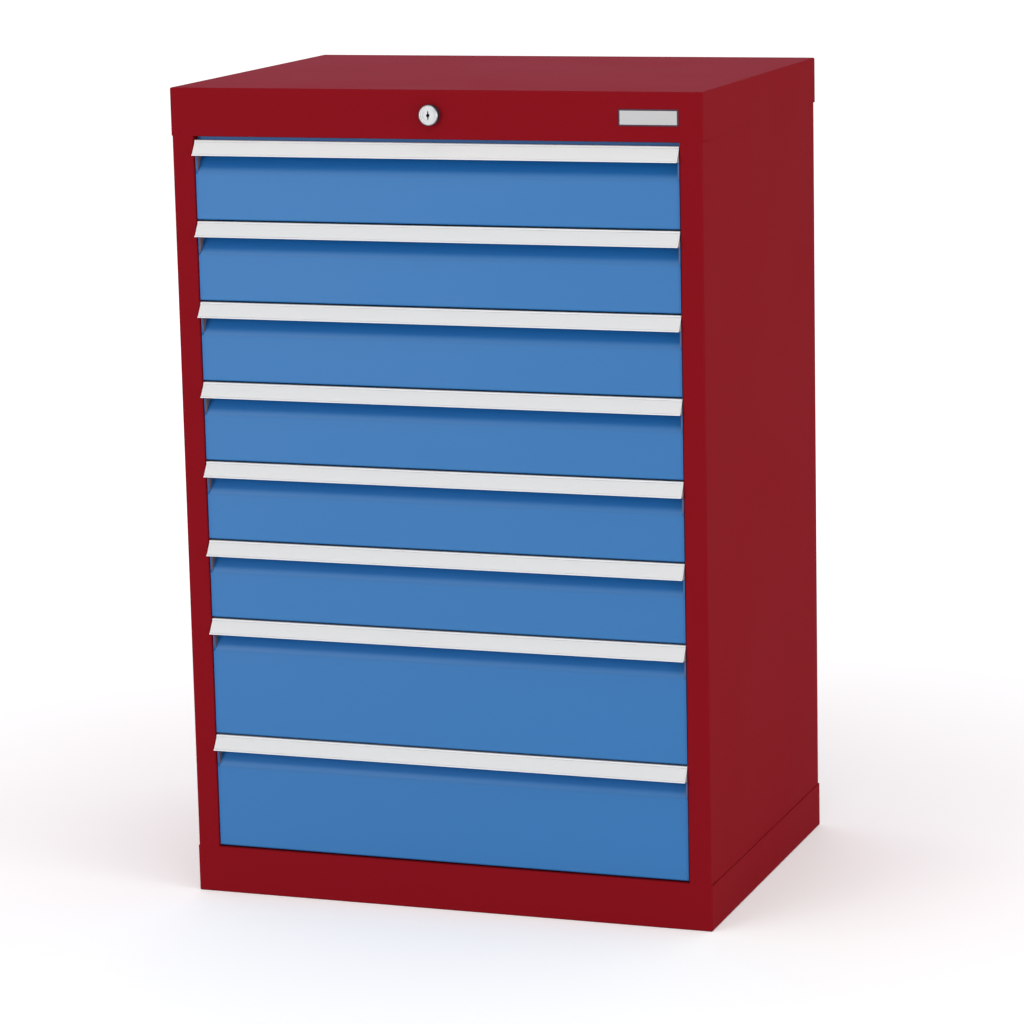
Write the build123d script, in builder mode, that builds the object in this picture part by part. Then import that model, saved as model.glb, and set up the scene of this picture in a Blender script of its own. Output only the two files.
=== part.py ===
from build123d import *
from math import cos, hypot, radians, sin
import os

os.makedirs("parts", exist_ok=True)

# A free-standing steel drawer cabinet, in millimetres.
# The front faces -Y, X runs to the right and Z up.
# The origin is on the floor, under the middle of the whole, handles included.

# Overall size
WIDTH = 680.0           # over the top cover
DEPTH = 500.0           # over the top cover, without the handles
FACE_INSET = 2.5        # from the cabinet's front plane back to the drawers' faces
HANDLE_OUT = 12.0       # how far the handles' lower corner stands out of those faces

# Sheet metal
SHEET = 1.2             # cabinet body and drawer fronts
TRAY_SHEET = 1.0        # drawer trays
BEND = 0.8              # inner radius of every fold

# Front opening and its slots, stacked from the top down
FRONT_BAND = 59.0       # height of the top rail, and of the plinth band
SKIRT = 57.0            # height of the side and rear skirts of cover and base
POST_WIDTH = 29.0       # each front post, from the cover's side to the opening
OPENING_WIDTH = WIDTH - 2 * POST_WIDTH
SLOT_SHORT = 100.0
SLOT_TALL = 150.0
SHORT_DRAWERS = 6       # how many
TALL_DRAWERS = 2        # how many
SILL_GAP = 1.0          # from the plinth band to the lowest slot

# Folds of the cabinet body
BAND_RETURN = 22.0      # depth of the flange behind the rail and the plinth band
JAMB_DEPTH = 25.0       # how far each front post is folded back
REAR_FLANGE = 20.0      # fold of the side panels that carries the back panel

# Slide uprights
UPRIGHT_DEPTH = 30.0
UPRIGHT_INSET = 32.0    # from the front plane, and from the back panel
UPRIGHT_PROUD = 0.7     # how far the uprights stand into the opening's width
HOLE_PITCH = 25.0       # the slots that the slides hook into
HOLE_WIDTH = 4.0
HOLE_HEIGHT = 12.0

# Telescopic slides, three nested members on each side of a drawer
SLIDE_WIDTH = 12.3      # from the drawer's side to the upright
SLIDE_HEIGHT = 45.0
SLIDE_LENGTH = 430.0
SLIDE_SHEET = 1.2
SLIDE_INSET = 2.0       # from the front of the trays
SLIDE_RISE = 40.0       # centre of a slide over the bottom of its slot
SLIDE_GAP = 0.4         # between nested flanges, over and under
SLIDE_SIDE_GAP = 0.6    # between nested webs
SLIDE_LIP_GAP = 1.0     # from the middle member's lips to the drawer member

# Drawer fronts
FRONT_SIDE_GAP = 1.2    # from a front to the post
FRONT_HANG = 3.0        # a front hangs this far under its slot
LAST_FRONT_RISE = 1.0   # the lowest front ends this far over its slot
PAN_DEPTH = 26.0        # depth of the folded front
PAN_RETURN = 23.0       # height of the flange that is joined to the tray
GRIP_HEIGHT = 42.0      # from the fold of the grip recess to the handle's top edge
GRIP_DEPTH = 24.0       # depth of the grip recess at its top
TOP_FLANGE_GAP = 3.0    # from the face to the flange under the handle
STRIP_RISE = 3.5        # strip over the handle of the uppermost drawer

# Handle strip, an extrusion
HANDLE_DROP = 5.0       # its top edge under the top of the slot
HANDLE_HEIGHT = 18.2
HANDLE_WALL = 1.6
HANDLE_LIP = 2.2        # width of the lips along the label channel
HANDLE_CHANNEL = 1.0    # depth of the label channel
HANDLE_FLANGE = 8.0
HANDLE_HOOK = 6.5       # width of the finger hook
HANDLE_EDGE = 0.4       # rounding of the extrusion's corners
HANDLE_END = 1.6        # end walls that close its hollow
HANDLE_FIT = 0.3        # from the handle to what stands close behind it
CAP_THICKNESS = 1.0     # caps that line the ends of the grip recess
CAP_INSET = 1.0         # from the face to their edge

# Drawer trays
TRAY_LIFT = 8.0         # underside of a tray over the bottom of its slot
TRAY_HEADROOM = 16.0    # from the tray's top edge to the top of its slot
TRAY_HEM = 6.0          # outward fold along the tray's side walls
CATCH_WIDTH = 20.0
CATCH_RISE = 62.0       # top of the catch over the bottom of the slot

# Lock
LOCK_DROP = 30.0        # axis under the top of the cover
LOCK_DIAMETER = 25.0
LOCK_OUT = 8.0
LOCK_CHAMFER = 1.5
LOCK_NECK = 19.0
LOCK_LENGTH = 26.0      # behind the front plane
LOCK_FIT = 0.2
PLUG_DIAMETER = 13.0
PLUG_FIT = 0.1
PLUG_RECESS = 0.4       # plug's face behind the collar's face
KEY_HOLE = 4.0
KEY_SLOT_WIDTH = 1.6
KEY_SLOT_HEIGHT = 9.0
KEY_DEPTH = 14.0
RING_DIAMETER = 19.0
RING_WIDTH = 0.6
RING_DEPTH = 0.4
SHAFT_DIAMETER = 8.0
SHAFT_FIT = 0.3
CRANK = 8.0             # from the shaft's axis to the crank pin
CRANK_START = 45.0      # degrees that the crank points below level when unlocked
CRANK_THICKNESS = 4.0
CRANK_EDGE = 2.5        # wall of the crank around shaft and pin
CRANK_CLEAR = 0.8       # from the crank to the lock bar
CRANK_PIN = 4.0
PIN_FIT = 0.4
HANGER_WIDTH = 26.0
HANGER_SHEET = 2.0
HANGER_INSET = 14.0     # from the crank to the hanger of the shaft

# Lock bar at the back
BAR_WIDTH = 30.0
BAR_SHEET = 3.0
BAR_STANDOFF = 3.0      # from the back panel
BAR_END = 16.0          # past the lock's axis, and past the lowest finger
FINGER_WIDTH = 10.0
FINGER_CLEAR = 2.0      # from a finger's tip to the catch, unlocked
FINGER_GAP = 0.8        # from a raised finger to the catch, along the travel
CATCH_CLEAR = 4.0       # from the catch to the bar
TRAY_CLEAR = 2.5        # from the fingers to the tray
GUIDE_HEIGHT = 30.0
GUIDE_INSET = 24.0      # from the bar's ends to the guides
GUIDE_WIDTH = 6.0
GUIDE_OVERLAP = 3.0
GUIDE_LIP = 3.0
GUIDE_FIT = 0.4

# Bare plate on the rail
PLATE_WIDTH = 74.0
PLATE_HEIGHT = 20.0
PLATE_THICKNESS = 0.8
PLATE_INSET = 29.5      # from the cover's side to the plate
PLATE_DROP = 20.5       # from the cover's top to the plate
PLATE_CORNER = 1.0

# Places worked out from the sizes
slots = [SLOT_SHORT] * SHORT_DRAWERS + [SLOT_TALL] * TALL_DRAWERS
height = sum(slots) + SILL_GAP + 2 * FRONT_BAND
rail_z = height - FRONT_BAND
slope = hypot(HANDLE_OUT, HANDLE_HEIGHT)  # width of the handle's sloping face
handle_inside = HANDLE_CHANNEL + HANDLE_WALL  # from that face to the handle's inner face
ledge_drop = HANDLE_WALL + SHEET        # from the handle's top edge to the ledge's underside
rounding = HANDLE_EDGE * (HANDLE_OUT + slope - HANDLE_HEIGHT) / HANDLE_HEIGHT
reach = HANDLE_OUT - FACE_INSET - rounding  # of the handles, past the front plane
front_y = -(DEPTH + reach) / 2 + reach
face_y = front_y + FACE_INSET           # the drawers' faces
back_y = front_y + DEPTH
fold = SHEET + BEND                     # outer radius of a fold
body_x = WIDTH / 2 - SHEET              # outer face of the side panels
wall_x = body_x - SHEET                 # their inner face
jamb_x = OPENING_WIDTH / 2
back_inner_y = back_y - 2 * SHEET       # inner face of the back panel
upright_x = jamb_x - UPRIGHT_PROUD
tray_x = upright_x - SLIDE_WIDTH        # outer face of a tray's side
tray_front_y = face_y + PAN_DEPTH
slide_front_y = tray_front_y + SLIDE_INSET
slide_back_y = slide_front_y + SLIDE_LENGTH
front_x = jamb_x - FRONT_SIDE_GAP
lock_z = height - LOCK_DROP
plug_face_y = front_y - LOCK_OUT + PLUG_RECESS
plug_back_y = front_y + LOCK_LENGTH
bar_back_y = back_inner_y - BAR_STANDOFF
bar_front_y = bar_back_y - BAR_SHEET
catch_back_y = bar_front_y - CATCH_CLEAR
catch_front_y = catch_back_y - TRAY_SHEET
finger_back_y = catch_front_y - FINGER_GAP
finger_front_y = finger_back_y - BAR_SHEET
tray_back_y = finger_front_y - TRAY_CLEAR
crank_back_y = bar_front_y - CRANK_CLEAR
crank_front_y = crank_back_y - CRANK_THICKNESS
bar_lift = 2 * CRANK * sin(radians(CRANK_START))
catch_lip = bar_lift + TRAY_SHEET       # height of a catch, its lip included
finger_height = bar_lift + BAR_SHEET

slot_tops = []
top = rail_z
for slot in slots:
    slot_tops.append(top)
    top -= slot
slot_bottoms = [z - slot for z, slot in zip(slot_tops, slots)]


def block(low, high, mode=Mode.ADD):
    """A box between two corners, in the part being built."""
    centre = tuple((a + b) / 2 for a, b in zip(low, high))
    size = [b - a for a, b in zip(low, high)]
    with Locations(centre):
        Box(*size, mode=mode)


def finish(piece, name):
    """Name a finished piece and write it out."""
    piece.part.label = name
    export_step(piece.part, f"parts/{name}.step")


# Top cover: a plate with skirts on all sides, deeper in front as the top rail
with BuildPart() as top_cover:
    block((-WIDTH / 2, front_y, rail_z), (WIDTH / 2, back_y, height))
    upright_edges = edges().filter_by(Axis.Z)
    fillet(edges().group_by(Axis.Z)[-1] + upright_edges, radius=fold)
    offset(amount=-SHEET, openings=faces().sort_by(Axis.Z)[0])
    skirt_z = height - SKIRT
    block(
        (-WIDTH / 2, front_y + fold, rail_z),
        (WIDTH / 2, back_y, skirt_z),
        mode=Mode.SUBTRACT,
    )
    # Flange behind the rail's lower edge
    block((-wall_x, front_y, rail_z), (wall_x, front_y + BAND_RETURN, rail_z + SHEET))
    # Hanger that carries the lock's shaft
    hanger_y = crank_front_y - HANGER_INSET
    block(
        (-HANGER_WIDTH / 2, hanger_y - HANGER_SHEET, lock_z - HANGER_WIDTH / 2),
        (HANGER_WIDTH / 2, hanger_y, height - SHEET),
    )
    with BuildSketch(Plane.XZ.offset(-hanger_y)):
        with Locations((0, lock_z)):
            Circle(SHAFT_DIAMETER / 2 + SHAFT_FIT)
    extrude(amount=HANGER_SHEET, mode=Mode.SUBTRACT)
    # Hole for the lock
    with BuildSketch(Plane.XZ.offset(-front_y - SHEET)):
        with Locations((0, lock_z)):
            Circle(LOCK_NECK / 2 + LOCK_FIT)
    extrude(amount=SHEET, mode=Mode.SUBTRACT)
finish(top_cover, "top_cover")

# Base: the same tray turned over, with the plinth band in front
with BuildPart() as base_tray:
    block((-WIDTH / 2, front_y, 0), (WIDTH / 2, back_y, FRONT_BAND))
    upright_edges = edges().filter_by(Axis.Z)
    fillet(edges().group_by(Axis.Z)[0] + upright_edges, radius=fold)
    offset(amount=-SHEET, openings=faces().sort_by(Axis.Z)[-1])
    block(
        (-WIDTH / 2, front_y + fold, SKIRT),
        (WIDTH / 2, back_y, FRONT_BAND),
        mode=Mode.SUBTRACT,
    )
    # Flange behind the band's upper edge
    block(
        (-wall_x, front_y, FRONT_BAND - SHEET),
        (wall_x, front_y + BAND_RETURN, FRONT_BAND),
    )
finish(base_tray, "base_tray")

# Side panels: one folded sheet each, wall, front post, jamb and rear flange
with BuildPart() as side_panel_right:
    with BuildSketch(Plane.XY.offset(FRONT_BAND)):
        with BuildLine():
            FilletPolyline(
                (jamb_x, front_y + JAMB_DEPTH),
                (jamb_x, front_y),
                (body_x, front_y),
                (body_x, back_inner_y),
                (body_x - REAR_FLANGE, back_inner_y),
                radius=fold,
            )
            offset(amount=SHEET, side=Side.LEFT)
        make_face()
    extrude(amount=rail_z - FRONT_BAND)
    # Wall and rear flange run on behind the skirts of cover and base
    with BuildSketch(Plane.XY.offset(fold)):
        with BuildLine():
            FilletPolyline(
                (body_x, front_y + BAND_RETURN),
                (body_x, back_inner_y),
                (body_x - REAR_FLANGE, back_inner_y),
                radius=fold,
            )
            offset(amount=SHEET, side=Side.LEFT)
        make_face()
    extrude(amount=height - 2 * fold)
finish(side_panel_right, "side_panel_right")

with BuildPart() as side_panel_left:
    mirror(side_panel_right.part, about=Plane.YZ)
finish(side_panel_left, "side_panel_left")

# Lock bar at rest: its lower end, its top and the tips of its fingers
catch_tops = [z + CATCH_RISE for z in slot_bottoms]
finger_tips = [z - catch_lip - FINGER_CLEAR for z in catch_tops]
bar_low_z = min(finger_tips) - finger_height - BAR_END
bar_high_z = lock_z + BAR_END
guide_low_zs = [bar_low_z + GUIDE_INSET, bar_high_z - GUIDE_INSET - GUIDE_HEIGHT]

# Back panel, with two pairs of guides for the lock bar
with BuildPart() as back_panel:
    block(
        (-body_x + BEND, back_inner_y, fold),
        (body_x - BEND, back_y - SHEET, height - fold),
    )
    guide_x = BAR_WIDTH / 2 + GUIDE_FIT
    for low_z in guide_low_zs:
        high_z = low_z + GUIDE_HEIGHT
        block(
            (guide_x, bar_front_y - GUIDE_FIT - GUIDE_LIP, low_z),
            (guide_x + GUIDE_WIDTH, back_inner_y, high_z),
        )
        block(
            (guide_x - GUIDE_OVERLAP, bar_front_y - GUIDE_FIT - GUIDE_LIP, low_z),
            (guide_x + GUIDE_WIDTH, bar_front_y - GUIDE_FIT, high_z),
        )
        block(
            (-guide_x - GUIDE_WIDTH, bar_front_y - GUIDE_FIT - GUIDE_LIP, low_z),
            (-guide_x, back_inner_y, high_z),
        )
        block(
            (-guide_x - GUIDE_WIDTH, bar_front_y - GUIDE_FIT - GUIDE_LIP, low_z),
            (-guide_x + GUIDE_OVERLAP, bar_front_y - GUIDE_FIT, high_z),
        )
finish(back_panel, "back_panel")

# Uprights that carry the slides: a channel at each corner, open to the wall
upright_front_ys = [
    front_y + UPRIGHT_INSET,
    back_inner_y - UPRIGHT_INSET - UPRIGHT_DEPTH,
]
hole_rows = int((rail_z - FRONT_BAND) / HOLE_PITCH)
opening_mid_z = (rail_z + FRONT_BAND) / 2
with BuildPart() as slide_uprights:
    for low_y in upright_front_ys:
        block(
            (upright_x, low_y, SHEET),
            (wall_x, low_y + UPRIGHT_DEPTH, height - SHEET),
        )
        block(
            (upright_x + SHEET, low_y + SHEET, SHEET),
            (wall_x, low_y + UPRIGHT_DEPTH - SHEET, height - SHEET),
            mode=Mode.SUBTRACT,
        )
        with BuildSketch(Plane.YZ.offset(upright_x)):
            with Locations((low_y + UPRIGHT_DEPTH / 2, opening_mid_z)):
                with GridLocations(UPRIGHT_DEPTH, HOLE_PITCH, 1, hole_rows):
                    Rectangle(HOLE_WIDTH, HOLE_HEIGHT)
        extrude(amount=SHEET, mode=Mode.SUBTRACT)
    mirror(about=Plane.YZ)
finish(slide_uprights, "slide_uprights")

# Slide members, right side: each is a channel between its web and its lips
outer_web_x = upright_x - SLIDE_SHEET
middle_back_x = outer_web_x - SLIDE_SIDE_GAP
middle_web_x = middle_back_x - SLIDE_SHEET
inner_lip_x = middle_web_x - SLIDE_SIDE_GAP
inner_web_x = tray_x + SLIDE_SHEET
middle_lip_x = inner_web_x + SLIDE_LIP_GAP
outer_lip_x = middle_lip_x + SLIDE_SHEET
middle_height = SLIDE_HEIGHT - 2 * (SLIDE_SHEET + SLIDE_GAP)
inner_height = middle_height - 2 * (SLIDE_SHEET + SLIDE_GAP)


def channel(back_x, lip_x, size_z, mid_z):
    """A slide member: web at back_x, lips reaching lip_x, on the right side."""
    inward = 1 if lip_x > back_x else -1
    low_z = mid_z - size_z / 2
    high_z = mid_z + size_z / 2
    left_x, right_x = sorted((back_x, lip_x))
    block((left_x, slide_front_y, low_z), (right_x, slide_back_y, high_z))
    left_x, right_x = sorted((back_x + inward * SLIDE_SHEET, lip_x))
    block(
        (left_x, slide_front_y, low_z + SLIDE_SHEET),
        (right_x, slide_back_y, high_z - SLIDE_SHEET),
        mode=Mode.SUBTRACT,
    )


with BuildPart() as cabinet_slides:
    for bottom_z in slot_bottoms:
        channel(upright_x, outer_lip_x, SLIDE_HEIGHT, bottom_z + SLIDE_RISE)
    mirror(about=Plane.YZ)
finish(cabinet_slides, "cabinet_slides")

# Lock housing: a collar in front of the rail and a neck through it
with BuildPart() as lock_housing:
    with BuildSketch(Plane.XZ.offset(-front_y)):
        with Locations((0, lock_z)):
            Circle(LOCK_DIAMETER / 2)
    extrude(amount=LOCK_OUT)
    chamfer(edges().group_by(Axis.Y)[0], length=LOCK_CHAMFER)
    with BuildSketch(Plane.XZ.offset(-plug_back_y)):
        with Locations((0, lock_z)):
            Circle(LOCK_NECK / 2)
    extrude(amount=LOCK_LENGTH)
    with BuildSketch(Plane.XZ.offset(-front_y + LOCK_OUT - RING_DEPTH)):
        with Locations((0, lock_z)):
            Circle(RING_DIAMETER / 2)
            Circle(RING_DIAMETER / 2 - RING_WIDTH, mode=Mode.SUBTRACT)
    extrude(amount=RING_DEPTH, mode=Mode.SUBTRACT)
    with BuildSketch(Plane.XZ.offset(-plug_back_y)):
        with Locations((0, lock_z)):
            Circle(PLUG_DIAMETER / 2 + PLUG_FIT)
    extrude(amount=LOCK_LENGTH + LOCK_OUT, mode=Mode.SUBTRACT)
finish(lock_housing, "lock_housing")

# Lock plug, with the keyway upright as it is when unlocked
with BuildPart() as lock_plug:
    with BuildSketch(Plane.XZ.offset(-plug_back_y)):
        with Locations((0, lock_z)):
            Circle(PLUG_DIAMETER / 2)
    extrude(amount=plug_back_y - plug_face_y)
    with BuildSketch(Plane.XZ.offset(-plug_face_y - KEY_DEPTH)):
        with Locations((0, lock_z)):
            Circle(KEY_HOLE / 2)
            Rectangle(KEY_SLOT_WIDTH, KEY_SLOT_HEIGHT)
    extrude(amount=KEY_DEPTH, mode=Mode.SUBTRACT)
finish(lock_plug, "lock_plug")

# Lock shaft: a rod over the drawers to the back, with a crank and its pin
pin_x = -CRANK * cos(radians(CRANK_START))
pin_z = lock_z - CRANK * sin(radians(CRANK_START))
with BuildPart() as lock_shaft:
    with BuildSketch(Plane.XZ.offset(-crank_back_y)):
        with Locations((0, lock_z)):
            Circle(SHAFT_DIAMETER / 2)
    extrude(amount=crank_back_y - plug_back_y)
    with BuildSketch(Plane.XZ.offset(-crank_back_y)):
        with Locations((0, lock_z)):
            Circle(SHAFT_DIAMETER / 2 + CRANK_EDGE)
        with Locations((pin_x, pin_z)):
            Circle(CRANK_PIN / 2 + CRANK_EDGE)
        make_hull()
    extrude(amount=CRANK_THICKNESS)
    with BuildSketch(Plane.XZ.offset(-bar_back_y)):
        with Locations((pin_x, pin_z)):
            Circle(CRANK_PIN / 2)
    extrude(amount=bar_back_y - crank_back_y)
finish(lock_shaft, "lock_shaft")

# Lock bar: a flat strip with a slot for the crank pin and a finger per drawer
pin_slot_length = CRANK + pin_x + CRANK_PIN + 2 * PIN_FIT
pin_slot_x = (pin_x - CRANK) / 2
with BuildPart() as lock_bar:
    block(
        (-BAR_WIDTH / 2, bar_front_y, bar_low_z),
        (BAR_WIDTH / 2, bar_back_y, bar_high_z),
    )
    fillet(edges().filter_by(Axis.Y), radius=BAR_SHEET)
    with BuildSketch(Plane.XZ.offset(-bar_back_y)):
        with Locations((pin_slot_x, pin_z)):
            Rectangle(pin_slot_length, CRANK_PIN + 2 * PIN_FIT)
    extrude(amount=BAR_SHEET, mode=Mode.SUBTRACT)
    for tip_z in finger_tips:
        foot_z = tip_z - finger_height
        block(
            (-FINGER_WIDTH / 2, finger_front_y, foot_z),
            (FINGER_WIDTH / 2, bar_front_y, foot_z + BAR_SHEET),
        )
        block(
            (-FINGER_WIDTH / 2, finger_front_y, foot_z),
            (FINGER_WIDTH / 2, finger_back_y, tip_z),
        )
finish(lock_bar, "lock_bar")

# Bare plate on the rail
plate_x = WIDTH / 2 - PLATE_INSET - PLATE_WIDTH / 2
plate_z = height - PLATE_DROP - PLATE_HEIGHT / 2
with BuildPart() as nameplate:
    with BuildSketch(Plane.XZ.offset(-front_y)):
        with Locations((plate_x, plate_z)):
            RectangleRounded(PLATE_WIDTH, PLATE_HEIGHT, PLATE_CORNER)
    extrude(amount=PLATE_THICKNESS)
    chamfer(edges().group_by(Axis.Y)[0], length=PLATE_THICKNESS / 3)
finish(nameplate, "nameplate")


def drawer_tray(bottom_z, slot_height):
    """An open tray of folded sheet with a catch for the lock at its back."""
    low_z = bottom_z + TRAY_LIFT
    high_z = bottom_z + slot_height - TRAY_HEADROOM
    inner_x = tray_x - TRAY_SHEET
    with BuildPart() as tray:
        block((-tray_x, tray_front_y, low_z), (tray_x, tray_back_y, high_z))
        bends = edges().filter_by(Axis.Y).group_by(Axis.Z)[0]
        fillet(bends, radius=TRAY_SHEET + BEND)
        offset(amount=-TRAY_SHEET, openings=faces().sort_by(Axis.Z)[-1])
        # Hems along the side walls
        for side in (-1, 1):
            near_x, far_x = sorted((side * inner_x, side * (tray_x + TRAY_HEM)))
            block(
                (near_x, tray_front_y, high_z - TRAY_SHEET),
                (far_x, tray_back_y, high_z),
            )
        # Catch: a shelf behind the rear wall with its lip turned down
        shelf_z = bottom_z + CATCH_RISE
        block(
            (-CATCH_WIDTH / 2, tray_back_y, shelf_z - TRAY_SHEET),
            (CATCH_WIDTH / 2, catch_back_y, shelf_z),
        )
        block(
            (-CATCH_WIDTH / 2, catch_front_y, shelf_z - catch_lip),
            (CATCH_WIDTH / 2, catch_back_y, shelf_z),
        )
    return tray


def handle_point(handle_z, along, inward):
    """A point of the handle's section, along its sloping face and behind it."""
    y = face_y - HANDLE_OUT * along / slope + HANDLE_HEIGHT * inward / slope
    z = handle_z - HANDLE_HEIGHT * along / slope - HANDLE_OUT * inward / slope
    return (y, z)


def wall_y(drop, inward):
    """Depth of a line behind the sloping face, at a drop under the top edge."""
    return face_y - (HANDLE_OUT * drop - slope * inward) / HANDLE_HEIGHT


def wall_drop(y, inward):
    """The drop at which that line is at a given depth."""
    return (HANDLE_HEIGHT * (face_y - y) + slope * inward) / HANDLE_OUT


def drawer_front(low_z, handle_z, strip_z):
    """The folded front: face, grip recess leaning back, flange for the handle."""
    fold_z = handle_z - GRIP_HEIGHT
    ledge_z = handle_z - ledge_drop
    rear_y = face_y + PAN_DEPTH
    lean_y = face_y + GRIP_DEPTH
    # Over the uppermost tray things lift in past the rim, so its plates lean clear of it
    plate_y = lean_y if strip_z > handle_z else rear_y
    notch_drop = wall_drop(face_y - HANDLE_FIT, handle_inside)
    notch_y = wall_y(ledge_drop, handle_inside) + HANDLE_FIT
    with BuildPart() as front:
        with BuildSketch(Plane.YZ):
            with BuildLine():
                FilletPolyline(
                    (rear_y, low_z + PAN_RETURN),
                    (rear_y, low_z),
                    (face_y, low_z),
                    (face_y, fold_z),
                    (lean_y, ledge_z),
                    (face_y + TOP_FLANGE_GAP, ledge_z),
                    radius=[fold, fold, fold, BEND],
                )
                offset(amount=SHEET, side=Side.RIGHT)
            make_face()
        extrude(amount=front_x, both=True)
        # End plates that close the hollow and both ends of the recess
        for side_x in (-front_x, front_x - SHEET):
            with BuildSketch(Plane.YZ.offset(side_x)):
                with BuildLine():
                    outline = FilletPolyline(
                        (plate_y, ledge_z),
                        (rear_y, low_z),
                        (face_y, low_z),
                        (face_y, handle_z - notch_drop),
                        (notch_y, ledge_z),
                        radius=fold,
                    )
                    Line(outline @ 1, outline @ 0)
                make_face()
            extrude(amount=SHEET)
        if strip_z > handle_z:
            strip_y = face_y + HANDLE_FLANGE + HANDLE_FIT
            block((-front_x, strip_y, ledge_z), (front_x, strip_y + SHEET, strip_z))
    return front


def drawer_handle(handle_z):
    """The extruded handle: flange, sloping face with label channel, finger hook."""
    foot_z = handle_z - HANDLE_HEIGHT
    hook_y = face_y - HANDLE_OUT + HANDLE_HOOK
    inner_foot_y = wall_y(HANDLE_HEIGHT - HANDLE_WALL, handle_inside)
    end_y = face_y - HANDLE_FIT
    middle = HANDLE_CHANNEL + HANDLE_WALL / 2
    middle_y = wall_y(HANDLE_HEIGHT, middle)
    with BuildPart() as handle:
        with BuildSketch(Plane.YZ):
            with BuildLine():
                FilletPolyline(
                    (face_y + HANDLE_FLANGE, handle_z),
                    (face_y, handle_z),
                    handle_point(handle_z, HANDLE_LIP, 0),
                    handle_point(handle_z, HANDLE_LIP, HANDLE_CHANNEL),
                    handle_point(handle_z, slope - HANDLE_LIP, HANDLE_CHANNEL),
                    handle_point(handle_z, slope - HANDLE_LIP, 0),
                    (face_y - HANDLE_OUT, foot_z),
                    (hook_y, foot_z),
                    (hook_y, foot_z + HANDLE_WALL),
                    (inner_foot_y, foot_z + HANDLE_WALL),
                    (wall_y(HANDLE_WALL, handle_inside), handle_z - HANDLE_WALL),
                    (face_y + HANDLE_FLANGE, handle_z - HANDLE_WALL),
                    radius=HANDLE_EDGE,
                    close=True,
                )
            make_face()
        extrude(amount=front_x, both=True)
        # End walls, from the middle of the sloping wall to the face
        for side_x in (-front_x, front_x - HANDLE_END):
            with BuildSketch(Plane.YZ.offset(side_x)):
                with BuildLine():
                    Polyline(
                        (end_y, handle_z - wall_drop(end_y, middle)),
                        (middle_y, foot_z),
                        (end_y, foot_z),
                        close=True,
                    )
                make_face()
            extrude(amount=HANDLE_END)
    return handle


def grip_caps(handle_z):
    """The two caps that line the ends of the grip recess."""
    fold_z = handle_z - GRIP_HEIGHT
    ledge_z = handle_z - ledge_drop
    lean = GRIP_DEPTH / (ledge_z - fold_z)
    low_z = fold_z + 2 * fold
    high_z = ledge_z - 2 * fold
    edge_y = face_y + CAP_INSET
    notch_drop = wall_drop(edge_y - HANDLE_FIT, handle_inside)
    with BuildPart() as caps:
        with BuildSketch(Plane.YZ.offset(front_x - SHEET - CAP_THICKNESS)):
            with BuildLine():
                Polyline(
                    (face_y + lean * (low_z - fold_z), low_z),
                    (face_y + lean * (high_z - fold_z), high_z),
                    (face_y + GRIP_DEPTH - 3 * fold, ledge_z),
                    (wall_y(ledge_drop, handle_inside) + HANDLE_FIT, ledge_z),
                    (edge_y, handle_z - notch_drop),
                    (edge_y, low_z),
                    close=True,
                )
            make_face()
        extrude(amount=CAP_THICKNESS)
        mirror(about=Plane.YZ)
    return caps


def slide_pair(back_x, lip_x, size_z, mid_z):
    """One slide member on each side of a drawer."""
    with BuildPart() as pair:
        channel(back_x, lip_x, size_z, mid_z)
        mirror(about=Plane.YZ)
    return pair


for index, (top_z, bottom_z) in enumerate(zip(slot_tops, slot_bottoms)):
    name = f"drawer_{index + 1}"
    is_last = index == len(slots) - 1
    front_low_z = bottom_z + LAST_FRONT_RISE if is_last else bottom_z - FRONT_HANG
    handle_z = top_z - HANDLE_DROP
    strip_z = handle_z + STRIP_RISE if index == 0 else handle_z
    slide_z = bottom_z + SLIDE_RISE
    finish(drawer_tray(bottom_z, top_z - bottom_z), f"{name}_tray")
    finish(drawer_front(front_low_z, handle_z, strip_z), f"{name}_front")
    finish(drawer_handle(handle_z), f"{name}_handle")
    finish(grip_caps(handle_z), f"{name}_grip_caps")
    finish(slide_pair(tray_x, inner_lip_x, inner_height, slide_z), f"{name}_runners")
    finish(
        slide_pair(middle_back_x, middle_lip_x, middle_height, slide_z),
        f"{name}_slide_middle",
    )
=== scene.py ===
import math

import bpy
from mathutils import Euler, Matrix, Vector


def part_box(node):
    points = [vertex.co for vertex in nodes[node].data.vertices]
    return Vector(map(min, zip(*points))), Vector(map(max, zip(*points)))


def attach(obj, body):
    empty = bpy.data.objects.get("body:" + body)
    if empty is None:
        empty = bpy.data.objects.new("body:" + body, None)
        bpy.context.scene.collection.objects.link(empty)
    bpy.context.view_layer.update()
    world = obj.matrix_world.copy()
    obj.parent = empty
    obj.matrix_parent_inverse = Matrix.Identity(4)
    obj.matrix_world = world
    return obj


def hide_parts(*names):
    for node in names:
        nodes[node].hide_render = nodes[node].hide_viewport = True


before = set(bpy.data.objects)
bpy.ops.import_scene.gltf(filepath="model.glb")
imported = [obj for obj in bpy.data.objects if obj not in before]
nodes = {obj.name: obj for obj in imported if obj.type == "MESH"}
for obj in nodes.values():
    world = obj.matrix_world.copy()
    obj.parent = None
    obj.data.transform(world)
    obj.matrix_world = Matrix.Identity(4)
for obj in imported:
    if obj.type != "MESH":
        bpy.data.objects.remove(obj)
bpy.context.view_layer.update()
scene = bpy.context.scene
drawerCount = sum(1 for name in nodes if name.endswith("_handle"))
drawerNumbers = range(1, drawerCount + 1)
print("frame loaded:", len(nodes), "nodes,", drawerCount, "drawers")


def screenColour(red, green, blue):
    # a colour as it reads on a screen, 0 to 255, into the linear values that shaders take
    parts = [value / 255 for value in (red, green, blue)]
    return [p / 12.92 if p <= 0.04045 else ((p + 0.055) / 1.055) ** 2.4 for p in parts]


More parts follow.
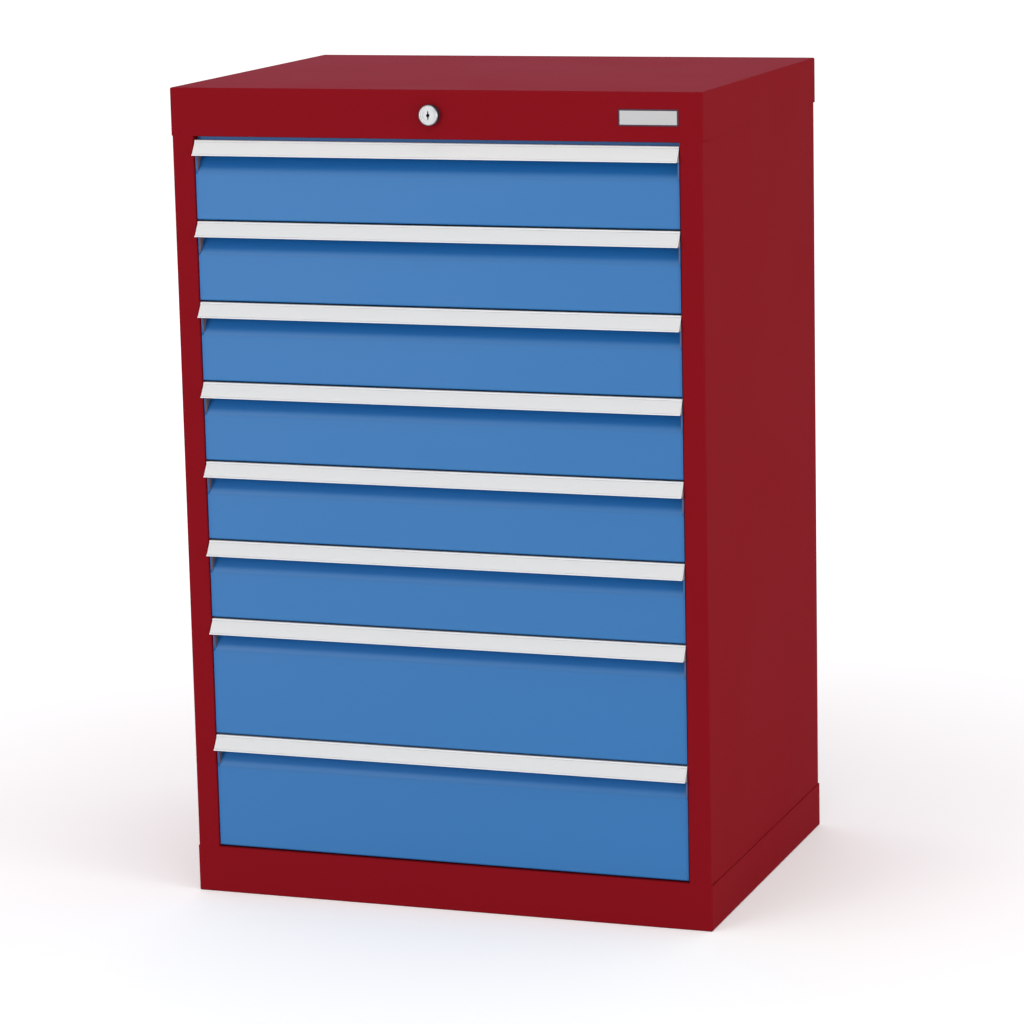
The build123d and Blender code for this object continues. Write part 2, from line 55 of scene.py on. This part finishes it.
def shaded(colour, factor):
    return [min(1.0, part * factor) for part in colour]


def spread(first, last, count):
    return [first + (last - first) * index / (count - 1) for index in range(count)]


# Shader trees

class Wire:
    # an output socket that can be used in a sum
    def __init__(self, shader, socket):
        self.shader = shader
        self.socket = socket

    def maths(self, operation, first, second):
        return self.shader.node("ShaderNodeMath", {"operation": operation}, {0: first, 1: second})

    def __add__(self, other):
        return self.maths("ADD", self, other)

    def __sub__(self, other):
        return self.maths("SUBTRACT", self, other)

    def __rsub__(self, other):
        return self.maths("SUBTRACT", other, self)

    def __mul__(self, other):
        return self.maths("MULTIPLY", self, other)

    def atLeast(self, other):
        return self.maths("MAXIMUM", self, other)

    def size(self):
        return self.maths("ABSOLUTE", self, 0.0)

    def root(self):
        return self.maths("SQRT", self, 0.0)

    def over(self, limit):
        return self.maths("GREATER_THAN", self, limit)


class Shader:
    def __init__(self, name):
        self.material = bpy.data.materials.new(name)
        self.material.use_nodes = True
        self.tree = self.material.node_tree
        self.surface = self.tree.nodes["Principled BSDF"]

    def fill(self, target, sockets):
        for key, value in sockets.items():
            if isinstance(value, Wire):
                self.tree.links.new(value.socket, target.inputs[key])
            elif isinstance(value, (list, tuple)) and target.inputs[key].type == "RGBA":
                target.inputs[key].default_value = (*value, 1)
            else:
                target.inputs[key].default_value = value

    def node(self, kind, settings=None, sockets=None, out=0):
        made = self.tree.nodes.new(kind)
        for key, value in (settings or {}).items():
            setattr(made, key, value)
        self.fill(made, sockets or {})
        return Wire(self, made.outputs[out])

    def objectPlace(self):
        return self.node("ShaderNodeTexCoord", out="Object")

    def noise(self, place, scale, detail=2.0):
        sockets = {"Vector": place, "Scale": scale, "Detail": detail}
        return self.node("ShaderNodeTexNoise", None, sockets)

    def stretchedNoise(self, place, stretch, detail):
        longer = self.node("ShaderNodeMapping", None, {"Vector": place, "Scale": stretch})
        return self.noise(longer, 1.0, detail)

    def moved(self, place, shift):
        return self.node("ShaderNodeMapping", None, {"Vector": place, "Location": tuple(shift)})

    def apart(self, place):
        first = self.node("ShaderNodeSeparateXYZ", None, {0: place})
        return [Wire(self, socket) for socket in first.socket.node.outputs]

    def climb(self, value, first, last, shape="LINEAR"):
        # rises from 0 to 1 between two values
        sockets = {0: value, 1: first, 2: last, 3: 0.0, 4: 1.0}
        return self.node("ShaderNodeMapRange", {"interpolation_type": shape}, sockets)

    def blend(self, share, first, second):
        settings = {"data_type": "RGBA"}
        sockets = {0: share, 6: first, 7: second}
        return self.node("ShaderNodeMix", settings, sockets, out=2)

    def toned(self, share, colour, look):
        # the colour, darker where the share is low and lighter where it is high
        return self.blend(share, shaded(colour, look["dark"]), shaded(colour, look["light"]))

    def bump(self, height):
        # height in metres
        return self.node("ShaderNodeBump", None, {"Height": height, "Distance": 1.0, "Strength": 1.0})

    def finish(self, sockets):
        self.fill(self.surface, sockets)
        return self.material


# The handles' profile, which the fronts' coat and the label cards follow
handleShape = {
    "flange": 0.008,        # behind the fronts' faces
    "out": 0.012,           # reach of the lower corner
    "drop": 0.0182,         # height of the sloping face
}

# Powder coat: fine orange peel that is darker in its pits, faint clouds in colour and sheen
bodyCoat = {
    "peelScale": 420.0, "peelDepth": 0.00006, "grainScale": 1300.0, "grainDepth": 0.00002,
    "cloudScale": 5.0, "dark": 0.95, "light": 1.05, "pits": 0.95,
    "roughness": 0.64, "roughnessSpread": 0.12, "gloss": 0.02,
}
frontCoat = {
    "peelScale": 420.0, "peelDepth": 0.00003, "grainScale": 1300.0, "grainDepth": 0.00001,
    "cloudScale": 4.0, "dark": 0.96, "light": 1.04, "pits": 0.97,
    "roughness": 0.45, "roughnessSpread": 0.1, "gloss": 0.5,
    "foldDrop": 0.042,      # from a handle's top to the fold under its grip recess
    "foldWidth": 0.009,     # the sheet turns over this much height
    "foldSteep": 0.70,      # slope of the recess against the face
    "endShadeWidth": 0.006,     # painted shade: the coat darkens towards both ends
    "endShadeShare": 0.6,
    "recessShadeWidth": 0.008,   # and painted shade into the recesses, over this much depth
    "recessShadeShare": 0.9,
}
trayCoat = {
    "peelScale": 500.0, "peelDepth": 0.00004, "grainScale": 1500.0, "grainDepth": 0.00001,
    "cloudScale": 6.0, "dark": 0.97, "light": 1.03, "pits": 0.96,
    "roughness": 0.5, "roughnessSpread": 0.1, "gloss": 0.35,
}


def foldHeight(shader, upwards, look):
    # a height that turns the normals slowly from the face into each recess
    total = 0.0
    for number in drawerNumbers:
        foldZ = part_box(f"drawer_{number}_handle")[1].z - look["foldDrop"]
        rise = shader.climb(upwards, foldZ, foldZ + look["foldWidth"])
        total = rise * (1 - rise * 0.5) + total
    return total * (look["foldSteep"] * look["foldWidth"])


def paintedShadeShare(shader, across, depth, look):
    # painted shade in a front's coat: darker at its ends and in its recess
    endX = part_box("drawer_1_front")[1].x
    edge = shader.climb(across.size(), endX - look["endShadeWidth"], endX, "SMOOTHSTEP")
    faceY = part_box("drawer_1_handle")[1].y - handleShape["flange"]
    recess = shader.climb(depth, faceY, faceY + look["recessShadeWidth"], "SMOOTHSTEP")
    return (edge * look["endShadeShare"]).atLeast(recess * look["recessShadeShare"])


def makePaint(name, colour, look, frontShadeColour=None):
    shader = Shader(name)
    place = shader.objectPlace()
    clouds = shader.noise(place, look["cloudScale"], detail=3.0)
    peel = shader.noise(place, look["peelScale"])
    grain = shader.noise(place, look["grainScale"], detail=1.0)
    base = shader.toned(clouds, colour, look)
    base = shader.blend(peel, shaded(colour, look["pits"]), base)
    height = peel * look["peelDepth"] + grain * look["grainDepth"]
    if frontShadeColour:
        across, depth, upwards = shader.apart(place)
        # painted shade: the blue turns to its shaded colour at the fronts' ends and in their recesses
        base = shader.blend(paintedShadeShare(shader, across, depth, look), base, frontShadeColour)
        height = height + foldHeight(shader, upwards, look)
    return shader.finish({
        "Base Color": base,
        "Roughness": clouds * look["roughnessSpread"] + look["roughness"],
        "Specular IOR Level": look["gloss"],
        "Normal": shader.bump(height),
    })


# Brushed strips: grain along the strip, small scratches, uneven sheen
brushedStrip = {
    "stretch": (6.0, 900.0, 900.0), "scratchDepth": 0.000012,
    "cloudScale": 14.0, "dark": 0.93, "light": 1.04,
    "metallic": 0.5, "roughness": 0.3, "roughnessSpread": 0.12,
}


def makeStrip(name, colour, look=brushedStrip):
    shader = Shader(name)
    place = shader.objectPlace()
    brushing = shader.stretchedNoise(place, look["stretch"], detail=3.0)
    clouds = shader.noise(place, look["cloudScale"])
    return shader.finish({
        "Base Color": shader.toned(brushing, colour, look),
        "Metallic": look["metallic"],
        "Roughness": (brushing + clouds) * look["roughnessSpread"] + look["roughness"],
        "Normal": shader.bump(brushing * look["scratchDepth"]),
    })


# Zinc plate: pale crystals with faint rolling marks
zincPlate = {
    "cellScale": 160.0, "stretch": (700.0, 8.0, 700.0), "rollDepth": 0.00001,
    "dark": 0.9, "light": 1.08,
    "metallic": 0.9, "roughness": 0.3, "roughnessSpread": 0.1,
}


def makeZinc(name, colour, look=zincPlate):
    shader = Shader(name)
    place = shader.objectPlace()
    sockets = {"Vector": place, "Scale": look["cellScale"]}
    cells = shader.node("ShaderNodeTexVoronoi", None, sockets, out="Color")
    tone = shader.node("ShaderNodeSeparateColor", None, {0: cells})
    rolling = shader.stretchedNoise(place, look["stretch"], detail=2.0)
    return shader.finish({
        "Base Color": shader.toned(tone, colour, look),
        "Metallic": look["metallic"],
        "Roughness": (tone + rolling) * look["roughnessSpread"] + look["roughness"],
        "Normal": shader.bump(rolling * look["rollDepth"]),
    })


# Moulded linings: a fine spark-eroded grain
mouldedCap = {
    "sparkScale": 900.0, "sparkDepth": 0.00004,
    "cloudScale": 30.0, "dark": 0.93, "light": 1.05,
    "roughness": 0.44, "roughnessSpread": 0.12, "gloss": 0.3,
}


def makePlastic(name, colour, look=mouldedCap):
    shader = Shader(name)
    place = shader.objectPlace()
    spark = shader.noise(place, look["sparkScale"])
    clouds = shader.noise(place, look["cloudScale"])
    return shader.finish({
        "Base Color": shader.toned(clouds, colour, look),
        "Roughness": clouds * look["roughnessSpread"] + look["roughness"],
        "Specular IOR Level": look["gloss"],
        "Normal": shader.bump(spark * look["sparkDepth"]),
    })


# Label card under a thin clear film: paper fibre below, smooth sheen above
cardPaper = {
    "stretch": (600.0, 900.0, 900.0), "fibreDepth": 0.00002,
    "cloudScale": 9.0, "dark": 0.96, "light": 1.03,
    "roughness": 0.35, "roughnessSpread": 0.1, "gloss": 0.3,
}


def makePaper(name, colour, look=cardPaper):
    shader = Shader(name)
    place = shader.objectPlace()
    fibre = shader.stretchedNoise(place, look["stretch"], detail=4.0)
    clouds = shader.noise(place, look["cloudScale"])
    return shader.finish({
        "Base Color": shader.toned(fibre, colour, look),
        "Roughness": clouds * look["roughnessSpread"] + look["roughness"],
        "Specular IOR Level": look["gloss"],
        "Normal": shader.bump(fibre * look["fibreDepth"]),
    })


# Bare plate: a dark pressed rim around a brushed field
barePlate = {
    "corner": 0.0016, "leastCorner": 0.0002, "cornerSteps": 5,
    "rim": 0.0018, "sink": 0.0002, "chamfer": 0.00025,
    "stretch": (8.0, 900.0, 900.0), "brushDepth": 0.00001, "dark": 0.93, "light": 1.05,
    "metallic": 0.35, "roughness": 0.35, "roughnessSpread": 0.15,
}
plateLow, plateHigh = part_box("nameplate")
plateMiddle = (plateLow + plateHigh) / 2
plateSize = plateHigh - plateLow


def makePlateFinish(name, colour, edgeColour, look=barePlate):
    shader = Shader(name)
    place = shader.objectPlace()
    across, _, upwards = shader.apart(shader.moved(place, -plateMiddle))
    beside = across.size().over(plateSize.x / 2 - look["rim"])
    border = beside.atLeast(upwards.size().over(plateSize.z / 2 - look["rim"]))
    brushing = shader.stretchedNoise(place, look["stretch"], detail=3.0)
    field = shader.toned(brushing, colour, look)
    return shader.finish({
        "Base Color": shader.blend(border, field, edgeColour),
        "Metallic": look["metallic"],
        "Roughness": brushing * look["roughnessSpread"] + look["roughness"],
        "Normal": shader.bump(brushing * look["brushDepth"]),
    })


# Lock: turned rings on the face, painted shade on the wall around the collar and in the key hole
lockLook = {
    "rings": 2600.0, "ringDepth": 0.000006, "dark": 0.8, "light": 1.15,
    "metallic": 0.8, "roughness": 0.3, "roughnessSpread": 0.1, "paintedShadeRoughness": 0.4,
    "wall": 0.0004,         # painted shade on the collar's wall starts this far inside its radius
    "mouth": 0.0006,        # painted shade makes the key hole dark from this far behind the plug's face
    "bore": 0.0022, "keyway": 0.0055, "keywayWidth": 0.0006, "keywayShade": 0.6,
}


def makeLock(name, colour, lockShadeColour, node, isPlug, look=lockLook):
    low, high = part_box(node)
    middle = (low + high) / 2
    shader = Shader(name)
    across, depth, upwards = shader.apart(shader.moved(shader.objectPlace(), -middle))
    radius = (across * across + upwards * upwards).root()
    ringPlace = shader.node("ShaderNodeCombineXYZ", None, {"X": radius})
    rings = shader.noise(ringPlace, look["rings"])
    # painted shade: the plug is dark in its bore, along its keyway and behind its face, and the
    # collar is dark on its outer wall
    if isPlug:
        beside = across.size().over(look["keywayWidth"])
        inKeyway = 1 - beside.atLeast(upwards.size().over(look["keyway"]))
        inBore = 1 - radius.over(look["bore"])
        deep = depth.over(low.y - middle.y + look["mouth"])
        paintedShade = deep.atLeast(inBore).atLeast(inKeyway * look["keywayShade"])
    else:
        paintedShade = radius.over((high.x - low.x) / 2 - look["wall"])
    rough = rings * look["roughnessSpread"] + paintedShade * look["paintedShadeRoughness"] + look["roughness"]
    return shader.finish({
        "Base Color": shader.blend(paintedShade, shader.toned(rings, colour, look), lockShadeColour),
        "Metallic": look["metallic"] - paintedShade * look["metallic"],
        "Roughness": rough,
        "Normal": shader.bump(rings * look["ringDepth"]),
    })


finishes = {
    "red": screenColour(131, 17, 27),
    "blue": screenColour(26, 107, 171),
    # painted shade: the fronts' blue as it looks in shade, for their ends and recesses
    "blueShade": screenColour(0, 97, 168),
    "tray": screenColour(196, 199, 202),
    "aluminium": screenColour(220, 220, 221),
    "card": screenColour(217, 217, 217),
    "cap": screenColour(124, 100, 102),
    "zinc": screenColour(190, 193, 196),
    "chrome": screenColour(158, 159, 160),
    # painted shade on the lock's collar wall and in its key hole
    "lockShade": screenColour(26, 22, 40),
    "plate": screenColour(172, 172, 173),
    "plateEdge": screenColour(52, 26, 48),
}

paintRed = makePaint("paintRed", finishes["red"], bodyCoat)
paintBlue = makePaint("paintBlue", finishes["blue"], frontCoat, finishes["blueShade"])
paintTray = makePaint("paintTray", finishes["tray"], trayCoat)
stripMetal = makeStrip("stripMetal", finishes["aluminium"])
collarMetal = makeLock("collarMetal", finishes["chrome"], finishes["lockShade"], "lock_housing", False)
plugMetal = makeLock("plugMetal", finishes["chrome"], finishes["lockShade"], "lock_plug", True)
slideZinc = makeZinc("slideZinc", finishes["zinc"])
capPlastic = makePlastic("capPlastic", finishes["cap"])
labelCard = makePaper("labelCard", finishes["card"])
plateFinish = makePlateFinish("plateFinish", finishes["plate"], finishes["plateEdge"])

# The longest ending that fits a node's name settles its material, and the rest is red
byEnding = {
    "_tray": paintTray, "_front": paintBlue, "_handle": stripMetal, "_grip_caps": capPlastic,
    "_runners": slideZinc, "_slide_middle": slideZinc, "_slides": slideZinc, "_uprights": slideZinc,
    "lock_housing": collarMetal, "lock_plug": plugMetal, "lock_shaft": slideZinc,
    "lock_bar": slideZinc, "nameplate": plateFinish, "base_tray": paintRed,
}
for name, node in nodes.items():
    matches = [ending for ending in byEnding if name.endswith(ending)]
    material = byEnding[max(matches, key=len)] if matches else paintRed
    for materialSlot in node.material_slots:
        materialSlot.material = material
    if not node.material_slots:
        node.data.materials.append(material)
print("materials on", len(nodes), "nodes")


def plainMesh(name, points, faces, material):
    mesh = bpy.data.meshes.new(name)
    mesh.from_pydata([tuple(point) for point in points], [], faces)
    mesh.materials.append(material)
    mesh.update()
    made = bpy.data.objects.new(name, mesh)
    scene.collection.objects.link(made)
    return made


def barFaces(ringCount, count, start=0):
    # quads that join rings of points in order, and a cap at each end
    faces = []
    for ring in range(ringCount - 1):
        near = start + ring * count
        far = near + count
        for index in range(count):
            after = (index + 1) % count
            faces.append((near + index, near + after, far + after, far + index))
    last = start + (ringCount - 1) * count
    faces.append(tuple(range(start, start + count))[::-1])
    faces.append(tuple(range(last, last + count)))
    return faces


def roundedOutline(width, height, corner, steps):
    # points of a rounded rectangle, in order round it
    outline = []
    for turn, (signX, signZ) in enumerate(((1, 1), (-1, 1), (-1, -1), (1, -1))):
        for step in range(steps + 1):
            angle = math.radians(90 * (turn + step / steps))
            x = signX * (width / 2 - corner) + corner * math.cos(angle)
            z = signZ * (height / 2 - corner) + corner * math.sin(angle)
            outline.append((x, z))
    return outline


def makePlate(look=barePlate):
    frontY, backY = plateLow.y, plateHigh.y
    rings = [
        (0.0, backY), (0.0, frontY + look["chamfer"]), (look["chamfer"], frontY),
        (look["rim"] - look["sink"], frontY), (look["rim"], frontY + look["sink"]),
    ]
    points = []
    for inset, y in rings:
        corner = max(look["corner"] - inset, look["leastCorner"])
        size = (plateSize.x - 2 * inset, plateSize.z - 2 * inset)
        for x, z in roundedOutline(*size, corner, look["cornerSteps"]):
            points.append((plateMiddle.x + x, y, plateMiddle.z + z))
    faces = barFaces(len(rings), len(points) // len(rings))
    made = plainMesh("bare_plate", points, faces, plateFinish)
    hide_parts("nameplate")
    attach(made, "cabinet")


makePlate()
print("plate made")


# Label cards, which lie in the channel along each handle's sloping face
labelStrip = {
    "lip": 0.0022,          # width of each lip beside the channel
    "channel": 0.0010,      # depth of the channel
    "thickness": 0.0006,
    "crown": 0.0002,        # the card bows a little between the lips
    "sideGap": 0.0003,
    "endGap": 0.0015,
    "sections": 24,         # along the strip
}


def makeLabel(number, look=labelStrip):
    low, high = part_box(f"drawer_{number}_handle")
    slope = math.hypot(handleShape["out"], handleShape["drop"])
    down = Vector((0, -handleShape["out"] / slope, -handleShape["drop"] / slope))
    inward = Vector((0, handleShape["drop"] / slope, -handleShape["out"] / slope))
    corner = Vector((0, high.y - handleShape["flange"], high.z))
    near = look["lip"] + look["sideGap"]
    far = slope - near
    under = look["channel"]
    face = under - look["thickness"]
    crown = face - look["crown"]
    ring = [(near, under), (near, face), ((near + far) / 2, crown), (far, face), (far, under)]
    ends = (low.x + look["endGap"], high.x - look["endGap"])
    points = []
    for x in spread(*ends, look["sections"] + 1):
        for along, depth in ring:
            points.append(corner + down * along + inward * depth + Vector((x, 0, 0)))
    faces = barFaces(look["sections"] + 1, len(ring))
    made = plainMesh(f"label_card_{number}", points, faces, labelCard)
    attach(made, f"drawer_{number}")


for number in drawerNumbers:
    makeLabel(number)
print("label cards:", drawerCount)


# Weld beads that close the joint beside each front post, over the base and under the cover
cornerWeld = {
    "joint": 0.0020,        # height of the open joint
    "height": 0.0026,
    "near": 0.0015,         # from the front plane to the bead's ends
    "far": 0.0225,
    "depth": 0.0010, "sink": 0.0001,
    "sections": 21, "steps": 8, "ripple": 0.1,
}


def makeWelds(look=cornerWeld):
    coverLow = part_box("top_cover")[0]
    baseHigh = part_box("base_tray")[1]
    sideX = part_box("side_panel_right")[1].x - look["sink"] - look["depth"]
    points, faces = [], []
    for middleZ in (baseHigh.z - look["joint"] / 2, coverLow.z + look["joint"] / 2):
        for side in (-1, 1):
            faces += barFaces(look["sections"], look["steps"] + 1, len(points))
            ends = (coverLow.y + look["near"], coverLow.y + look["far"])
            for section, y in enumerate(spread(*ends, look["sections"])):
                crown = look["depth"] * (1 - look["ripple"] * (section % 2))
                for angle in spread(0, math.pi, look["steps"] + 1):
                    x = side * (sideX + crown * math.sin(angle))
                    z = middleZ + side * look["height"] / 2 * math.cos(angle)
                    points.append((x, y, z))
    made = plainMesh("corner_welds", points, faces, paintRed)
    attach(made, "cabinet")


makeWelds()
print("welds made")


# Rivets, set by points that carry the direction each head faces
rivetBall = {"Segments": 14, "Rings": 8, "Radius": 1.0}
largeHead = {"radius": 0.0032, "height": 0.0011}
smallHead = {"radius": 0.0026, "height": 0.0009}


def makeRivetTree():
    tree = bpy.data.node_groups.new("rivetHeads", "GeometryNodeTree")
    tree.interface.new_socket("Geometry", in_out="INPUT", socket_type="NodeSocketGeometry")
    radius = tree.interface.new_socket("headRadius", in_out="INPUT", socket_type="NodeSocketFloat")
    height = tree.interface.new_socket("headHeight", in_out="INPUT", socket_type="NodeSocketFloat")
    finish = tree.interface.new_socket("finish", in_out="INPUT", socket_type="NodeSocketMaterial")
    tree.interface.new_socket("Geometry", in_out="OUTPUT", socket_type="NodeSocketGeometry")

    def add(kind, settings, sockets):
        made = tree.nodes.new(kind)
        for key, value in settings.items():
            setattr(made, key, value)
        for key, value in sockets.items():
            if isinstance(value, bpy.types.NodeSocket):
                tree.links.new(value, made.inputs[key])
            else:
                made.inputs[key].default_value = value
        return made.outputs[0]

    points, headRadius, headHeight, headFinish = tree.nodes.new("NodeGroupInput").outputs[:4]
    ball = add("GeometryNodeMeshUVSphere", {}, rivetBall)
    size = add("ShaderNodeCombineXYZ", {}, {"X": headRadius, "Y": headRadius, "Z": headHeight})
    dome = add("GeometryNodeTransform", {}, {"Geometry": ball, "Scale": size})
    settings = {"data_type": "FLOAT_VECTOR"}
    facing = add("GeometryNodeInputNamedAttribute", settings, {"Name": "facing"})
    turn = add("FunctionNodeAlignRotationToVector", {"axis": "Z"}, {"Vector": facing})
    sockets = {"Points": points, "Instance": dome, "Rotation": turn}
    placed = add("GeometryNodeInstanceOnPoints", {}, sockets)
    real = add("GeometryNodeRealizeInstances", {}, {"Geometry": placed})
    smooth = add("GeometryNodeSetShadeSmooth", {}, {"Geometry": real, "Shade Smooth": True})
    painted = add("GeometryNodeSetMaterial", {}, {"Geometry": smooth, "Material": headFinish})
    tree.links.new(painted, tree.nodes.new("NodeGroupOutput").inputs[0])
    return tree, radius.identifier, height.identifier, finish.identifier


rivetTree, radiusInput, heightInput, finishInput = makeRivetTree()


def makeRivets(name, places, body, head):
    # places: pairs of a point and the direction that the head faces
    mesh = bpy.data.meshes.new(name + "Points")
    mesh.from_pydata([tuple(point) for point, facing in places], [], [])
    attribute = mesh.attributes.new("facing", "FLOAT_VECTOR", "POINT")
    for item, (point, facing) in zip(attribute.data, places):
        item.vector = facing
    source = bpy.data.objects.new(name + "Source", mesh)
    scene.collection.objects.link(source)
    modifier = source.modifiers.new("rivets", "NODES")
    modifier.node_group = rivetTree
    modifier[radiusInput] = head["radius"]
    modifier[heightInput] = head["height"]
    modifier[finishInput] = slideZinc
    graph = bpy.context.evaluated_depsgraph_get()
    plain = bpy.data.meshes.new_from_object(source.evaluated_get(graph))
    bpy.data.objects.remove(source)
    plain.name = name
    made = bpy.data.objects.new(name, plain)
    scene.collection.objects.link(made)
    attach(made, body)


# Rivets of the back panel, in a row up each side
backRivets = {"rows": 11, "sideInset": 0.010, "endInset": 0.080}
backward = (0, 1, 0)


def makeBackRivets(look=backRivets):
    low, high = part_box("back_panel")
    heights = (low.z + look["endInset"], high.z - look["endInset"])
    places = []
    for x in (low.x + look["sideInset"], high.x - look["sideInset"]):
        places += [((x, high.y, z), backward) for z in spread(*heights, look["rows"])]
    makeRivets("back_rivets", places, "cabinet", largeHead)


# Rivets that hold each runner, seen inside the trays
runnerRivets = {
    "count": 5, "inset": 0.030,
    "runner": 0.0087,       # width of a runner, from its outer side to the tray's wall
    "sheet": 0.0010,        # thickness of that wall
}


def makeRunnerRivets(number, look=runnerRivets):
    low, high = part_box(f"drawer_{number}_runners")
    middleZ = (low.z + high.z) / 2
    wallX = high.x - look["runner"] - look["sheet"]
    ends = (low.y + look["inset"], high.y - look["inset"])
    places = []
    for side in (-1, 1):
        inward = (-side, 0, 0)
        places += [((side * wallX, y, middleZ), inward) for y in spread(*ends, look["count"])]
    makeRivets(f"runner_rivets_{number}", places, f"drawer_{number}", smallHead)


# Rivets that hold each front, seen inside the trays
frontRivets = {"count": 6, "inset": 0.045, "sheet": 0.0010, "belowRim": 0.012}


def makeFrontRivets(number, look=frontRivets):
    low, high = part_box(f"drawer_{number}_tray")
    y = low.y + look["sheet"]
    z = high.z - look["belowRim"]
    ends = (low.x + look["inset"], high.x - look["inset"])
    places = [((x, y, z), backward) for x in spread(*ends, look["count"])]
    makeRivets(f"front_rivets_{number}", places, f"drawer_{number}", smallHead)


makeBackRivets()
for number in drawerNumbers:
    makeRunnerRivets(number)
for number in drawerNumbers:
    makeFrontRivets(number)
print("rivets made")


# Floor, world, lamps and camera
stage = {
    "size": 40.0, "tone": 0.9, "bounce": 0.84, "world": 0.72, "backdrop": 1.0,
    # the floor glows less near the cabinet: a painted shade pool round it, white far off
    "nearRadius": 0.6, "shadePoolGlow": 0.2, "farRadius": 2.6, "farGlow": 0.42,
}
directRays = ("Is Camera Ray", "Is Glossy Ray", "Is Transmission Ray")


def makeFloor():
    size = stage["size"]
    corners = [(-size, -size, 0), (size, -size, 0), (size, size, 0), (-size, size, 0)]
    mesh = bpy.data.meshes.new("floor")
    mesh.from_pydata(corners, [], [(0, 1, 2, 3)])
    floor = bpy.data.objects.new("floor", mesh)
    scene.collection.objects.link(floor)
    shader = Shader("floorPale")
    rays = shader.node("ShaderNodeLightPath").socket.node.outputs
    camera, glossy, transmission = [Wire(shader, rays[kind]) for kind in directRays]
    seen = camera.atLeast(glossy).atLeast(transmission)
    across, back, _ = shader.apart(shader.objectPlace())
    distance = (across * across + back * back).root()
    # painted shade: the glow is lower near the cabinet and rises to white far off
    far = shader.climb(distance, stage["nearRadius"], stage["farRadius"], "SMOOTHSTEP")
    tone = shader.blend(far, [stage["shadePoolGlow"]] * 3, [stage["farGlow"]] * 3)
    dull = shader.node("ShaderNodeBsdfDiffuse", None, {"Color": [stage["bounce"]] * 3})
    pale = shader.node("ShaderNodeBsdfDiffuse", None, {"Color": [stage["tone"]] * 3})
    glow = shader.node("ShaderNodeEmission", None, {"Color": tone})
    bright = shader.node("ShaderNodeAddShader", None, {0: pale, 1: glow})
    mixed = shader.node("ShaderNodeMixShader", None, {0: seen, 1: dull, 2: bright})
    output = shader.tree.nodes["Material Output"]
    shader.tree.links.new(mixed.socket, output.inputs["Surface"])
    mesh.materials.append(shader.material)


def makeWorld():
    # what is seen direct is white, and what lights the cabinet is a little dimmer
    world = bpy.data.worlds.new("studio")
    scene.world = world
    world.use_nodes = True
    tree = world.node_tree
    tree.nodes.clear()

    def background(strength):
        made = tree.nodes.new("ShaderNodeBackground")
        made.inputs["Color"].default_value = (1, 1, 1, 1)
        made.inputs["Strength"].default_value = strength
        return made.outputs[0]

    def larger(first, second):
        made = tree.nodes.new("ShaderNodeMath")
        made.operation = "MAXIMUM"
        tree.links.new(first, made.inputs[0])
        tree.links.new(second, made.inputs[1])
        return made.outputs[0]

    rays = tree.nodes.new("ShaderNodeLightPath").outputs
    camera, glossy, transmission = [rays[kind] for kind in directRays]
    mixed = tree.nodes.new("ShaderNodeMixShader")
    output = tree.nodes.new("ShaderNodeOutputWorld")
    tree.links.new(larger(larger(camera, glossy), transmission), mixed.inputs[0])
    tree.links.new(background(stage["world"]), mixed.inputs[1])
    tree.links.new(background(stage["backdrop"]), mixed.inputs[2])
    tree.links.new(mixed.outputs[0], output.inputs["Surface"])


white = (1, 1, 1)
lamps = {
    "overhead": {
        "place": (0.2, -1.4, 4.4), "aim": (0, 0, 0.6), "size": 3.6, "power": 30.0, "tint": white,
    },
    "left": {
        "place": (-3.0, -5.2, 1.3), "aim": (0, 0, 0.4), "size": 3.0, "power": 95.0, "tint": white,
    },
    "right": {
        "place": (5.2, -1.6, 1.2), "aim": (0, 0, 0.4), "size": 3.0, "power": 80.0, "tint": white,
    },
    # gives the top its purple sheen, and lights the back
    "behind": {
        "place": (-2.1, 5.6, 2.4), "aim": (0, 0, 0.9), "size": 3.0, "power": 28.0,
        "tint": (1.0, 0.45, 1.0),
    },
}


def makeLamp(name, place, aim, size, power, tint):
    data = bpy.data.lights.new(name, "AREA")
    data.shape = "DISK"
    data.size = size
    data.energy = power
    data.color = tint
    made = bpy.data.objects.new(name, data)
    scene.collection.objects.link(made)
    made.location = place
    made.rotation_mode = "QUATERNION"
    made.rotation_quaternion = (Vector(aim) - Vector(place)).to_track_quat("-Z", "Y")


camera = {
    "place": (1.6652, -4.6266, 1.4211),
    "turn": (78.915, 1.240, 19.498),    # degrees about X, Y and Z
    "focal": 3916.3,                    # in pixels of the picture
    "picture": 1024,
    "sensor": 36.0,
    "reach": 200.0,
}


def makeCamera():
    data = bpy.data.cameras.new("camera")
    data.sensor_width = camera["sensor"]
    data.lens = camera["focal"] / camera["picture"] * camera["sensor"]
    data.clip_end = camera["reach"]
    made = bpy.data.objects.new("camera", data)
    scene.collection.objects.link(made)
    made.location = camera["place"]
    made.rotation_euler = Euler([math.radians(angle) for angle in camera["turn"]], "XYZ")
    scene.camera = made


makeFloor()
makeWorld()
for name, lamp in lamps.items():
    makeLamp(name, **lamp)
makeCamera()
scene.view_settings.view_transform = "Standard"
print("stage, lamps and camera made")
